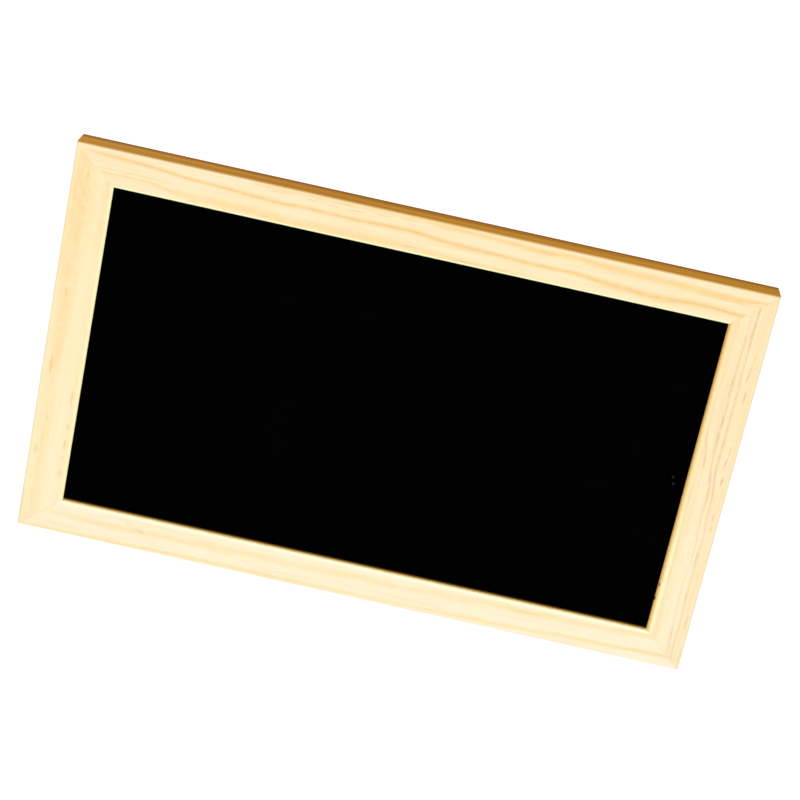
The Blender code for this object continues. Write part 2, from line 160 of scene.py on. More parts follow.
# The clearest growth ring of the top rail
TOP_RING = [
    (0, 3.4, 2.0, 0.10), (10, 4.0, 2.2, 0.36), (20, 4.6, 2.6, 0.66), (30, 5.0, 2.8, 0.74),
    (40, 5.6, 2.8, 0.76), (50, 6.3, 2.9, 0.76), (60, 7.3, 3.0, 0.76), (70, 8.4, 3.0, 0.76),
    (80, 9.0, 3.0, 0.78), (90, 9.3, 3.0, 0.80), (100, 9.7, 3.0, 0.80), (110, 10.5, 3.2, 0.80),
    (120, 11.0, 3.1, 0.80), (132, 11.5, 3.1, 0.80), (150, 11.1, 3.2, 0.76), (162, 11.2, 3.2, 0.76),
    (176, 11.6, 3.2, 0.78), (190, 11.4, 3.2, 0.82), (200, 11.2, 3.2, 0.82), (210, 10.8, 3.3, 0.88),
    (218, 11.0, 3.4, 0.90), (224, 11.7, 3.4, 0.90), (232, 12.7, 3.3, 0.88), (242, 13.4, 3.2, 0.84),
    (252, 13.8, 3.2, 0.82), (275, 14.5, 3.2, 0.82), (300, 15.2, 3.2, 0.82), (320, 15.1, 3.3, 0.84),
    (330, 16.0, 3.6, 0.86), (340, 17.2, 4.2, 0.90), (350, 18.0, 4.6, 0.92), (362, 18.6, 4.8, 0.94),
    (377, 19.1, 4.8, 0.96), (390, 18.3, 4.6, 0.94), (400, 17.6, 4.2, 0.90), (410, 17.7, 3.8, 0.86),
    (420, 18.5, 3.6, 0.88), (432, 19.4, 3.4, 0.88), (450, 20.2, 3.0, 0.80),
]

# The brown heart of that ring, with a share of its width and a share of its strength
HEART_WIDTH_SHARE = 0.8
HEART_STRENGTH_SHARE = 0.26
TOP_RING_HEART = [
    (along, across, width * HEART_WIDTH_SHARE, strength * HEART_STRENGTH_SHARE)
    for along, across, width, strength in TOP_RING
]

TOP_STREAKS = [
    Streak(LATEWOOD, 0.15, TOP_RING),
    Streak(LATEWOOD, 0.25, [
        (0, 0.6, 1.6, 0.0), (105, 1.0, 2.2, 0.0), (130, 1.6, 2.6, 0.36), (160, 1.9, 2.8, 0.48),
        (205, 1.6, 2.8, 0.46), (222, 1.4, 3.0, 0.6), (240, 2.4, 3.6, 0.80), (260, 3.0, 3.4, 0.8),
        (280, 3.9, 3.6, 0.85), (301, 5.0, 4.0, 0.95), (313, 4.4, 3.8, 0.82), (328, 4.9, 4.0, 0.84),
        (350, 6.4, 4.8, 0.90), (388, 6.8, 4.8, 0.95), (422, 8.0, 3.6, 0.95), (438, 7.3, 2.6, 0.8),
        (450, 6.0, 2.0, 0.5),
    ]),
    Streak(LATEWOOD, 0.30, [
        (0, 17.5, 1.8, 0.3), (17, 17.5, 1.8, 0.55), (47, 17.6, 2.0, 0.6), (60, 19.7, 2.8, 0.55),
        (72, 21.2, 4.4, 0.6), (100, 21.4, 5.4, 0.65), (125, 22.2, 5.8, 0.70), (155, 22.9, 5.4, 0.70),
        (200, 23.0, 5.6, 0.70), (217, 22.4, 5.4, 0.65), (230, 23.6, 4.8, 0.65), (262, 25.0, 3.6, 0.6),
        (300, 25.6, 2.4, 0.35), (360, 26.0, 2.0, 0.0), (450, 26.0, 2.0, 0.0),
    ]),
    Streak(LATEWOOD, 0.5, [
        (0, 14.4, 1.6, 0.15), (20, 14.4, 1.6, 0.35), (47, 14.6, 1.8, 0.35), (70, 15.8, 1.8, 0.0),
        (380, 9.0, 1.6, 0.0), (408, 9.8, 1.8, 0.45), (434, 10.3, 2.0, 0.45), (450, 8.0, 1.6, 0.3),
    ]),
    Streak(UMBER, 0.70, TOP_RING_HEART),
]

TOP_FLECKS = [
    Fleck((159, 5.0), (171, 5.4), 0.7, 0.45), Fleck((173, 5.5), (186, 5.0), 0.8, 0.55),
    Fleck((74, 24.0), (82, 24.2), 0.8, 0.35), Fleck((95, 24.6), (101, 24.8), 0.8, 0.30),
    Fleck((112, 1.7), (125, 2.0), 0.7, 0.30), Fleck((128, 2.8), (140, 2.4), 0.7, 0.25),
    Fleck((146, 1.5), (158, 1.9), 0.7, 0.30), Fleck((165, 2.3), (178, 2.0), 0.7, 0.25),
    Fleck((204, 3.2), (222, 3.5), 0.8, 0.30), Fleck((228, 3.6), (242, 4.6), 0.7, 0.25),
    Fleck((145, 4.6), (160, 5.0), 0.7, 0.30), Fleck((188, 4.4), (204, 4.2), 0.9, 0.40),
    Fleck((119, 4.0), (141, 3.8), 0.7, 0.25), Fleck((210, 22.6), (222, 22.2), 1.0, 0.40),
    Fleck((118, 23.8), (126, 23.4), 0.8, 0.35), Fleck((130, 24.0), (138, 24.2), 0.7, 0.35),
    Fleck((226, 24.4), (234, 24.2), 0.7, 0.30), Fleck((244, 24.4), (262, 24.6), 0.8, 0.35),
    Fleck((212, 18.0), (219, 19.8), 0.6, 0.20), Fleck((297, 4.4), (305, 6.0), 1.0, 0.40),
    Fleck((405, 9.4), (437, 10.8), 0.6, 0.30), Fleck((236, 14.6), (276, 16.2), 0.6, 0.20),
]

BOTTOM_STREAKS = [
    Streak(STRAW, 0.25, [
        (0, 1.8, 2.4, 0.35), (25, 1.9, 2.6, 0.45), (50, 2.6, 2.8, 0.50), (75, 2.3, 2.8, 0.50),
        (100, 2.8, 3.0, 0.50), (150, 3.0, 3.0, 0.50), (195, 2.9, 3.2, 0.50), (225, 3.3, 2.8, 0.40),
        (250, 3.4, 2.4, 0.35), (275, 4.2, 2.4, 0.35), (325, 5.0, 3.4, 0.45), (350, 5.6, 2.6, 0.40),
        (375, 7.4, 2.6, 0.40), (405, 7.6, 2.8, 0.45), (425, 8.8, 2.8, 0.55), (450, 8.9, 2.8, 0.55),
    ]),
    Streak(STRAW, 0.35, [
        (0, 16.5, 4.4, 0.20), (20, 16.0, 4.6, 0.30), (50, 14.8, 4.6, 0.35), (80, 15.8, 5.0, 0.40),
        (125, 15.2, 4.8, 0.40), (155, 16.2, 5.0, 0.45), (195, 16.3, 4.8, 0.40), (225, 17.6, 4.6, 0.40),
        (250, 16.8, 4.4, 0.40), (275, 18.0, 4.4, 0.40), (300, 19.3, 4.6, 0.40), (325, 19.6, 4.4, 0.50),
        (345, 19.2, 4.4, 0.55), (360, 20.6, 4.4, 0.45), (388, 21.0, 4.2, 0.30), (425, 22.6, 4.2, 0.35),
        (450, 23.0, 4.0, 0.30),
    ]),
]

BOTTOM_FLECKS = [
    Fleck((84, 13.8), (79, 17.4), 2.0, 0.25), Fleck((78, 17.0), (71, 20.5), 2.2, 0.15),
    Fleck((240, 16.0), (262, 16.8), 0.8, 0.20), Fleck((335, 18.4), (352, 19.6), 1.0, 0.20),
]

LEFT_STREAKS = [
    Streak(REDDISH, 0.45, [
        (0, 7.5, 12.0, 0.45), (15, 8.4, 13.0, 0.74), (40, 8.8, 13.5, 0.90), (67, 8.4, 13.0, 0.80),
        (90, 8.2, 10.5, 0.70), (112, 8.4, 8.5, 0.74), (140, 8.6, 7.0, 0.70), (163, 8.6, 5.5, 0.55),
        (180, 8.8, 5.0, 0.25), (230, 8.0, 5.0, 0.20), (300, 7.5, 4.5, 0.20),
    ]),
    Streak(REDDISH, 0.2, [
        (0, 23.2, 5.0, 0.36), (45, 23.2, 5.0, 0.48), (68, 23.2, 5.0, 0.34), (90, 23.2, 5.0, 0.14),
        (113, 23.2, 5.0, 0.26), (140, 23.2, 5.0, 0.14), (187, 23.2, 5.0, 0.28), (212, 23.2, 5.0, 0.04),
        (300, 23.2, 5.0, 0.0),
    ]),
    Streak(REDDISH, 0.2, [
        (0, 4.5, 6.0, 0.16), (65, 4.5, 6.0, 0.24), (90, 6.5, 4.5, 0.16), (120, 6.5, 4.5, 0.12),
        (140, 4.5, 6.0, 0.22), (187, 4.0, 5.0, 0.18), (212, 5.0, 5.0, 0.14), (235, 5.0, 5.0, 0.04),
        (300, 5.0, 5.0, 0.0),
    ]),
    Streak(CREAM, 0.4, [
        (0, 18.0, 8.0, 0.0), (140, 18.0, 8.0, 0.0), (190, 17.5, 8.5, 0.35), (235, 17.5, 9.0, 0.60),
        (265, 17.5, 9.0, 0.50), (300, 17.5, 9.0, 0.50),
    ]),
]

LEFT_FLECKS = [
    Fleck((32, 3.4), (37, 3.5), 1.0, 0.35), Fleck((38, 4.2), (42, 4.3), 1.0, 0.35),
    Fleck((19, 10.2), (24, 10.3), 1.2, 0.50), Fleck((31, 9.0), (38, 9.1), 1.0, 0.30),
    Fleck((107, 8.2), (117, 8.5), 1.2, 0.50), Fleck((159, 5.2), (178, 6.0), 1.2, 0.75),
    Fleck((206, 8.3), (214, 8.4), 1.0, 0.35), Fleck((224, 7.6), (230, 7.7), 1.0, 0.35),
    Fleck((233, 4.5), (239, 4.6), 1.2, 0.60), Fleck((256, 3.4), (262, 3.8), 1.0, 0.25),
    Fleck((270, 6.4), (284, 7.4), 1.0, 0.30), Fleck((264, 0.6), (299, 0.6), 1.0, 0.45),
    Fleck((22, 23.3), (27, 23.5), 1.2, 0.50), Fleck((30, 24.4), (35, 24.6), 1.0, 0.35),
    Fleck((184, 22.7), (197, 22.8), 1.4, 0.55), Fleck((212, 23.1), (216, 23.2), 1.2, 0.50),
    Fleck((224, 22.9), (233, 23.1), 1.2, 0.60), Fleck((237, 22.9), (241, 22.9), 1.0, 0.35),
    Fleck((248, 23.0), (255, 23.1), 1.2, 0.60),
]

RIGHT_STREAKS = [
    Streak(UMBER, 0.45, [
        (0, 10.4, 1.6, 0.15), (12, 10.6, 1.8, 0.55), (25, 11.1, 1.8, 0.60), (34, 11.3, 1.8, 0.60),
        (42, 11.1, 1.6, 0.50), (55, 11.1, 1.6, 0.40), (66, 11.0, 1.8, 0.50), (75, 10.6, 1.6, 0.45),
        (88, 10.7, 1.8, 0.55), (102, 10.8, 1.8, 0.45), (115, 10.8, 1.8, 0.55), (128, 10.7, 1.8, 0.50),
        (140, 10.3, 1.8, 0.55), (148, 9.4, 1.6, 0.50), (155, 8.6, 1.6, 0.60), (163, 8.0, 1.6, 0.55),
        (172, 8.0, 1.8, 0.55), (182, 7.4, 1.6, 0.50), (193, 6.9, 1.6, 0.45), (206, 7.6, 1.8, 0.60),
        (220, 7.5, 1.6, 0.50), (241, 7.6, 1.8, 0.55), (252, 7.0, 1.6, 0.45), (266, 6.6, 1.6, 0.50),
        (282, 7.0, 1.8, 0.55), (300, 6.6, 1.8, 0.55),
    ]),
    Streak(UMBER, 0.45, [
        (0, 13.6, 1.6, 0.0), (18, 14.3, 1.6, 0.25), (35, 14.5, 1.6, 0.35), (58, 15.0, 1.6, 0.50),
        (68, 15.3, 1.6, 0.60), (78, 15.4, 1.6, 0.50), (88, 14.8, 1.6, 0.55), (100, 15.1, 1.8, 0.60),
        (114, 15.1, 1.8, 0.60), (126, 14.9, 1.6, 0.50), (134, 14.3, 1.6, 0.45), (144, 12.9, 1.6, 0.55),
        (153, 11.7, 1.6, 0.55), (162, 11.6, 1.8, 0.60), (174, 11.6, 1.6, 0.45), (188, 11.1, 1.6, 0.45),
        (200, 10.6, 1.6, 0.45), (215, 10.9, 1.4, 0.25), (236, 11.6, 1.6, 0.35), (255, 11.0, 1.4, 0.25),
        (269, 10.5, 1.6, 0.55), (285, 9.9, 1.8, 0.60), (300, 9.4, 1.8, 0.50),
    ]),
    Streak(UMBER, 0.45, [
        (0, 21.6, 1.4, 0.10), (60, 21.7, 1.4, 0.15), (95, 22.8, 1.4, 0.25), (110, 22.5, 1.6, 0.35),
        (120, 20.9, 1.6, 0.45), (130, 19.5, 1.6, 0.55), (137, 19.3, 1.6, 0.40), (144, 20.0, 1.4, 0.0),
        (149, 22.4, 1.4, 0.0), (156, 22.8, 1.6, 0.45), (170, 22.8, 1.4, 0.40), (190, 22.7, 1.6, 0.40),
        (200, 22.1, 1.6, 0.40), (215, 21.8, 1.4, 0.30), (250, 21.6, 1.4, 0.20), (300, 21.5, 1.4, 0.15),
    ]),
    Streak(LATEWOOD, 0.2, [
        (0, 20.4, 2.6, 0.0), (235, 20.4, 2.6, 0.0), (252, 20.2, 2.8, 0.24), (280, 20.0, 2.8, 0.30),
        (300, 19.6, 2.6, 0.20),
    ]),
    Streak(REDDISH, 0.2, [
        (0, 3.2, 7.0, 0.36), (90, 3.2, 7.0, 0.36), (160, 3.2, 7.0, 0.26), (230, 3.2, 7.0, 0.20),
        (300, 3.2, 7.0, 0.18),
    ]),
    Streak(REDDISH, 0.2, [
        (0, 23.0, 6.0, 0.50), (65, 23.0, 6.0, 0.55), (90, 23.0, 6.0, 0.40), (110, 23.0, 6.0, 0.30),
        (160, 23.0, 6.0, 0.45), (210, 23.0, 6.0, 0.40), (235, 23.0, 6.0, 0.25), (260, 23.0, 6.0, 0.10),
        (300, 23.0, 6.0, 0.10),
    ]),
    Streak(REDDISH, 0.2, [
        (0, 14.0, 12.0, 0.14), (100, 14.0, 12.0, 0.12), (160, 14.0, 12.0, 0.06), (200, 14.0, 12.0, 0.0),
        (300, 14.0, 12.0, 0.0),
    ]),
    Streak(CREAM, 0.4, [
        (0, 13.0, 13.0, 0.0), (130, 13.0, 13.0, 0.05), (170, 13.0, 13.0, 0.28), (210, 13.0, 13.0, 0.50),
        (260, 13.0, 13.0, 0.55), (300, 13.0, 13.0, 0.55),
    ]),
    # Painted highlight along the sight edge, beside the chamfer's painted shade
    Streak(EDGE_HIGHLIGHT, 0.0, [
        (0, 23.6, 1.3, 0.0), (100, 23.5, 1.3, 0.15), (160, 23.4, 1.8, 0.30), (200, 23.4, 2.0, 0.75),
        (255, 23.8, 2.0, 0.85), (300, 24.0, 2.0, 0.80),
    ]),
]

RIGHT_FLECKS = [
    Fleck((43, 5.9), (53, 6.0), 0.8, 0.30), Fleck((52, 6.1), (68, 7.0), 1.0, 0.55),
    Fleck((72, 5.7), (84, 5.8), 1.0, 0.60), Fleck((116, 5.0), (126, 5.5), 1.0, 0.40),
    Fleck((126, 5.6), (135, 6.3), 1.0, 0.60), Fleck((140, 4.9), (149, 4.9), 1.0, 0.60),
    Fleck((170, 4.4), (178, 4.1), 1.0, 0.55), Fleck((179, 3.7), (186, 3.5), 1.0, 0.45),
    Fleck((218, 3.8), (226, 3.7), 1.0, 0.30), Fleck((253, 2.8), (268, 3.0), 1.0, 0.50),
    Fleck((11, 10.7), (18, 10.8), 1.0, 0.25), Fleck((28, 11.2), (36, 11.4), 1.0, 0.20),
    Fleck((92, 10.8), (97, 10.8), 1.0, 0.25), Fleck((136, 10.4), (143, 10.3), 1.0, 0.30),
    Fleck((150, 8.9), (158, 8.5), 1.0, 0.25), Fleck((202, 7.6), (213, 7.8), 1.0, 0.30),
    Fleck((236, 7.6), (245, 7.6), 1.0, 0.25), Fleck((62, 15.1), (74, 15.4), 1.0, 0.20),
    Fleck((83, 14.8), (91, 14.7), 1.0, 0.25), Fleck((95, 15.1), (105, 15.1), 1.0, 0.25),
    Fleck((107, 15.1), (119, 15.1), 1.0, 0.30), Fleck((141, 13.1), (148, 12.5), 1.0, 0.35),
    Fleck((152, 11.7), (164, 11.6), 1.0, 0.25), Fleck((266, 10.6), (275, 10.4), 1.0, 0.25),
    Fleck((204, 16.4), (218, 16.6), 1.2, 0.20), Fleck((246, 16.1), (264, 16.5), 1.2, 0.15),
    Fleck((127, 19.6), (137, 19.3), 1.0, 0.20), Fleck((278, 1.4), (299, 1.4), 0.8, 0.25),
]

RAILS = {
    "top_rail": Rail(
        corner=(LEFT_X, FACE_Y, TOP_Z), along=RIGHT, inward=DOWN, seed=1.0,
        base=srgb(253, 234, 194), fleck_colour=UMBER,
        finish=Finish(lines=0.12, spots=0.10, side_start=0.1),
        streaks=TOP_STREAKS, flecks=TOP_FLECKS,
        bands=[Band(25.0, 26.1, EDGE_HIGHLIGHT), Band(27.0, 27.5, SIGHT)],
        touches=[],
    ),
    "bottom_rail": Rail(
        corner=(LEFT_X, FACE_Y, BOTTOM_Z), along=RIGHT, inward=UP, seed=2.0,
        base=srgb(253, 242, 210), fleck_colour=UMBER,
        finish=Finish(lines=0.08, spots=0.08, side_start=0.9),
        streaks=BOTTOM_STREAKS, flecks=BOTTOM_FLECKS,
        bands=[
            Band(0.8, 0.0, srgb(253, 246, 220)),
            # Painted highlight along the sight edge
            Band(23.0, 24.6, srgb(254, 252, 218)),
            # Painted shade on the sight chamfer, which faces up
            Band(25.9, 27.1, srgb(212, 176, 96)),
        ],
        touches=[],
    ),
    "left_stile": Rail(
        corner=(LEFT_X, FACE_Y, TOP_Z), along=DOWN, inward=RIGHT, seed=3.0,
        base=srgb(253, 238, 195), fleck_colour=BROWN,
        finish=Finish(lines=0.12, spots=0.22, side_start=0.7),
        streaks=LEFT_STREAKS, flecks=LEFT_FLECKS,
        bands=[Band(25.1, 26.2, EDGE_HIGHLIGHT), Band(27.0, 27.5, SIGHT)],
        touches=[],
    ),
    "right_stile": Rail(
        corner=(RIGHT_X, FACE_Y, TOP_Z), along=DOWN, inward=LEFT, seed=4.0,
        base=srgb(254, 236, 197), fleck_colour=UMBER,
        finish=Finish(lines=0.26, spots=0.28, side_start=1.0),
        streaks=RIGHT_STREAKS, flecks=RIGHT_FLECKS,
        # Painted shade on the sight chamfer
        bands=[Band(24.6, 26.1, CHAMFER_SHADE), Band(26.2, 27.4, CHAMFER_SHADE_DARK)],
        touches=[Fleck((233, 26.4), (236, 26.5), 0.7, 0.75), Fleck((245, 27.0), (248, 27.1), 0.8, 0.85)],
    ),
}

# Noise: how often it changes in a metre along each axis, its detail and its roughness
Noise = namedtuple("Noise", "stretch detail roughness")

# How a surface takes light: its roughness and how far noise moves that, its gloss, how metallic it
# is, and the height and strength of its relief
Surface = namedtuple("Surface", "roughness reach gloss metallic relief strength")

# A mix node's colour sockets, by place, because its sockets share their names
MIX_FIRST = 6
MIX_SECOND = 7
MIX_RESULT = 2


class Graph:
    """The nodes of one material. A value is a socket, a number or a vector."""

    def __init__(self, name):
        self.material = bpy.data.materials.new(name)
        self.material.use_nodes = True
        self.tree = self.material.node_tree
        self.shader = self.tree.nodes["Principled BSDF"]
        place = self.node("ShaderNodeTexCoord")
        self.point = place.outputs["Object"]
        self.normal = place.outputs["Normal"]

    def node(self, kind, **settings):
        made = self.tree.nodes.new(kind)
        for name, value in settings.items():
            setattr(made, name, value)
        return made

    def feed(self, socket, value):
        if isinstance(value, bpy.types.NodeSocket):
            self.tree.links.new(value, socket)
        elif socket.type == "RGBA":
            socket.default_value = (*value, 1)
        else:
            socket.default_value = value

    def math(self, operation, *values):
        made = self.node("ShaderNodeMath", operation=operation)
        for socket, value in zip(made.inputs, values):
            self.feed(socket, value)
        return made.outputs[0]

    def plus(self, first, second):
        return self.math("ADD", first, second)

    def minus(self, first, second):
        return self.math("SUBTRACT", first, second)

    def times(self, first, second):
        return self.math("MULTIPLY", first, second)

    def distance(self, first, second):
        return self.math("ABSOLUTE", self.minus(first, second))

    def most(self, values):
        total = values[0]
        for value in values[1:]:
            total = self.math("MAXIMUM", total, value)
        return total

    def vector(self, operation, first, second):
        made = self.node("ShaderNodeVectorMath", operation=operation)
        self.feed(made.inputs[0], first)
        self.feed(made.inputs[1], second)
        return made.outputs["Value" if operation in ("DOT_PRODUCT", "DISTANCE") else "Vector"]

    def dot(self, first, second):
        return self.vector("DOT_PRODUCT", first, second)

    def combine(self, x, y, z):
        made = self.node("ShaderNodeCombineXYZ")
        for socket, value in zip(made.inputs, (x, y, z)):
            self.feed(socket, value)
        return made.outputs[0]

    def ease(self, value, low, high):
        """0 up to low and 1 from high, or the other way round where high is below low."""
        made = self.node("ShaderNodeMapRange", interpolation_type="SMOOTHSTEP")
        for socket, number in zip(made.inputs, (value, low, high, 0.0, 1.0)):
            self.feed(socket, number)
        return made.outputs[0]

    def noise(self, point, noise):
        made = self.node("ShaderNodeTexNoise")
        self.feed(made.inputs["Vector"], self.vector("MULTIPLY", point, noise.stretch))
        self.feed(made.inputs["Scale"], 1.0)
        self.feed(made.inputs["Detail"], noise.detail)
        self.feed(made.inputs["Roughness"], noise.roughness)
        return made.outputs["Fac"]

    def swing(self, value, reach):
        """Noise between 0 and 1 turned into a number between -reach and reach."""
        return self.times(self.minus(value, 0.5), 2 * reach)

    def uneven(self, value, level, reach):
        """Noise between 0 and 1 turned into a number within reach of a level."""
        return self.plus(level, self.swing(value, reach))

    def curve(self, value, pairs, span):
        """A smooth line through given (position, height) pairs. Heights run from 0 to span."""
        length = pairs[-1][0]
        made = self.node("ShaderNodeFloatCurve")
        line = made.mapping.curves[0]
        while len(line.points) < len(pairs):
            line.points.new(0.5, 0.5)
        for point, (position, height) in zip(line.points, pairs):
            point.location = (position / length, height / span)
        made.mapping.update()
        self.feed(made.inputs["Value"], self.math("DIVIDE", value, length))
        return self.times(made.outputs[0], span)

    def blend(self, first, second, share):
        made = self.node("ShaderNodeMix", data_type="RGBA")
        self.feed(made.inputs[0], share)
        self.feed(made.inputs[MIX_FIRST], first)
        self.feed(made.inputs[MIX_SECOND], second)
        return made.outputs[MIX_RESULT]

    def tint(self, base, value, span, colour, share=1.0):
        """A share of another colour over the base, growing as noise crosses a span."""
        return self.blend(base, colour, self.times(self.ease(value, *span), share))

    def scale(self, colour, value):
        made = self.node("ShaderNodeVectorMath", operation="SCALE")
        self.feed(made.inputs[0], colour)
        self.feed(made.inputs["Scale"], value)
        return made.outputs[0]

    def vary(self, colour, value, reach, level=1.0):
        """A colour made lighter and darker by noise."""
        return self.scale(colour, self.uneven(value, level, reach))

    def finish(self, surface, colour, unevenness, height):
        """Sets the shader. One noise makes its roughness uneven, and a height is its relief."""
        relief = self.node("ShaderNodeBump")
        self.feed(relief.inputs["Strength"], surface.strength)
        self.feed(relief.inputs["Distance"], surface.relief)
        self.feed(relief.inputs["Height"], height)
        self.feed(self.shader.inputs["Normal"], relief.outputs[0])
        roughness = self.uneven(unevenness, surface.roughness, surface.reach)
        self.feed(self.shader.inputs["Base Color"], colour)
        self.feed(self.shader.inputs["Roughness"], roughness)
        self.feed(self.shader.inputs["Specular IOR Level"], surface.gloss)
        self.feed(self.shader.inputs["Metallic"], surface.metallic)
        return self.material


# Pine. Its noises run along, across and back, but the lines and spots of the face have the rail's
# seed in place of back.
PINE_SURFACE = Surface(0.62, 0.10, 0.03, 0.0, 0.00008, 0.5)
SLOW_WANDER = Noise((14, 60, 60), 2.0, 0.5)
QUICK_WANDER = Noise((220, 600, 600), 2.0, 0.6)
FACE_FIBRE = Noise((26, 1300, 1300), 3.0, 0.6)
FACE_MOTTLE = Noise((20, 170, 170), 3.0, 0.5)
FACE_LINES = Noise((7, 620, 1), 2.0, 0.6)
FACE_SPOTS = Noise((300, 700, 1), 3.0, 0.65)
STREAK_BREAKS = Noise((120, 260, 260), 2.0, 0.6)
RAGGED_EDGE = Noise((420, 200, 200), 2.0, 0.6)
FIBRE = Noise((20, 900, 900), 3.0, 0.6)
FINE_FIBRE = Noise((60, 3600, 3600), 2.0, 0.6)
SIDE_LINES = Noise((3, 330, 330), 2.0, 0.5)
SIDE_WAVER = Noise((5, 1, 1), 1.0, 0.5)
RAW_RINGS = Noise((4, 240, 240), 2.0, 0.5)
SAW_MARKS = Noise((420, 60, 60), 1.0, 0.4)

# Where a noise begins to show and where it shows in full
FIBRE_SPAN = (0.50, 0.78)
MOTTLE_SPAN = (0.40, 0.80)
LINES_SPAN = (0.52, 0.70)
SPOTS_SPAN = (0.48, 0.66)
BREAKS_SPAN = (0.36, 0.58)
FRAY_SPAN = (0.35, 0.60)
RINGS_SPAN = (0.48, 0.66)

# How much of it shows there, how much the side's ring shows, and what the finest fibres give to
# the relief
FIBRE_SHARE = 0.20
MOTTLE_SHARE = 0.22
FRAY_SHARE = 0.45
SIDE_LINES_SHARE = 0.40
SIDE_RING_SHARE = 0.50
RAW_RINGS_SHARE = 0.75
FINE_RELIEF_SHARE = 0.4

# How far fibres and saw marks lighten and darken the wood, and how light it is left as sawn
FACE_CONTRAST = 0.012
SIDE_CONTRAST = 0.08
RAW_CONTRAST = 0.10
SAW_CONTRAST = 0.025
RAW_LEVEL = 0.97

# How far streaks, edge bands and the side's ring waver
SLOW_REACH = 0.0006
QUICK_REACH = 0.00032
RAGGED_REACH = 0.0004
SIDE_WAVER_REACH = 0.0016

# A streak's stripe, and its core, which grows as the streak narrows between two widths
WIDEST_STREAK = 20 * MM
STRIPE_SHARE = 0.80
CORE_SHARE = 0.25
CORE_WIDTH_SHARE = 0.35
CORE_WIDTHS = (0.0048, 0.0030)

# Depths on the outer side: its ring, its painted shade towards the back, and its fades after the side's
# start
SIDE_RING_DEPTH = 0.0032
SIDE_RING_REACH = 0.0013
SIDE_SHADE_DEPTHS = (0.0080, 0.0138)
ARRIS_FADE = 0.0007
SIDE_FADE = (0.0005, 0.0021)

# Distances across at which the painted shade on the lip's inner wall begins and is full
LIP_EDGE = (0.0240, 0.0250)

# The dot product of a normal and a direction at which a surface begins to count as turned that
# way, and at which it does in full. For the outer side and the lip the direction is inward.
FRONT_TURN = (-0.2, 0.1)
OUTER_TURN = (-0.25, -0.35)
LIP_TURN = (0.70, 0.90)
BACK_TURN = (-0.2, 0.2)

# A point on a rail's own axes. Streaks and flecks follow wandering, which is across with its
# wavers, and most noises are read at local.
Place = namedtuple("Place", "along across depth wandering local")


def rail_place(graph, rail):
    offset = graph.vector("SUBTRACT", graph.point, rail.corner)
    along = graph.dot(offset, rail.along)
    across = graph.dot(offset, rail.inward)
    depth = graph.dot(offset, BACK)
    local = graph.combine(graph.plus(along, rail.seed), across, depth)
    slow = graph.swing(graph.noise(local, SLOW_WANDER), SLOW_REACH)
    quick = graph.swing(graph.noise(local, QUICK_WANDER), QUICK_REACH)
    return Place(along, across, depth, graph.plus(across, graph.plus(slow, quick)), local)


def streak_mask(graph, at, streak):
    """How much of a streak lies at a point: a soft stripe, with a darker core if it is narrow."""
    centres = [(along * MM, across * MM) for along, across, _, _ in streak.points]
    widths = [(along * MM, width * MM) for along, _, width, _ in streak.points]
    strengths = [(along * MM, strength) for along, _, _, strength in streak.points]
    centre = graph.curve(at.along, centres, MOULDING_WIDTH)
    width = graph.curve(at.along, widths, WIDEST_STREAK)
    strength = graph.curve(at.along, strengths, 1.0)
    away = graph.math("DIVIDE", graph.distance(at.wandering, centre), width)
    stripe = graph.times(graph.ease(away, 1.0, 0.0), STRIPE_SHARE)
    narrow = graph.times(graph.ease(width, *CORE_WIDTHS), CORE_SHARE)
    core = graph.times(graph.ease(away, CORE_WIDTH_SHARE, 0.0), narrow)
    return graph.times(graph.plus(stripe, core), strength)


def fleck_mask(graph, spot, fleck):
    """How much of a fleck lies at a point: an ellipse that fades towards its edge."""
    start = Vector((*fleck.start, 0)) * MM
    end = Vector((*fleck.end, 0)) * MM
    run = end - start
    reach = run.normalized() / (run.length / 2 + fleck.width * MM)
    breadth = Vector((-run.y, run.x, 0)).normalized() / (fleck.width * MM)
    offset = graph.vector("SUBTRACT", spot, tuple((start + end) / 2))
    far = graph.dot(offset, tuple(reach))
    wide = graph.dot(offset, tuple(breadth))
    share = graph.plus(graph.times(far, far), graph.times(wide, wide))
    return graph.times(graph.ease(share, 1.0, 0.0), fleck.strength)


def face_ground(graph, rail, at, fibre):
    """The planed face before its streaks: mottle, fibres, fine lines and fine spots."""
    mottle = graph.noise(at.local, FACE_MOTTLE)
    lines = graph.noise(graph.combine(at.along, at.wandering, rail.seed), FACE_LINES)
    spots = graph.noise(graph.combine(at.along, at.across, rail.seed), FACE_SPOTS)
    face = graph.tint(rail.base, mottle, MOTTLE_SPAN, LATEWOOD, MOTTLE_SHARE)
    face = graph.tint(face, fibre, FIBRE_SPAN, LATEWOOD, FIBRE_SHARE)
    face = graph.tint(face, lines, LINES_SPAN, rail.fleck_colour, rail.finish.lines)
    return graph.tint(face, spots, SPOTS_SPAN, ROSY, rail.finish.spots)


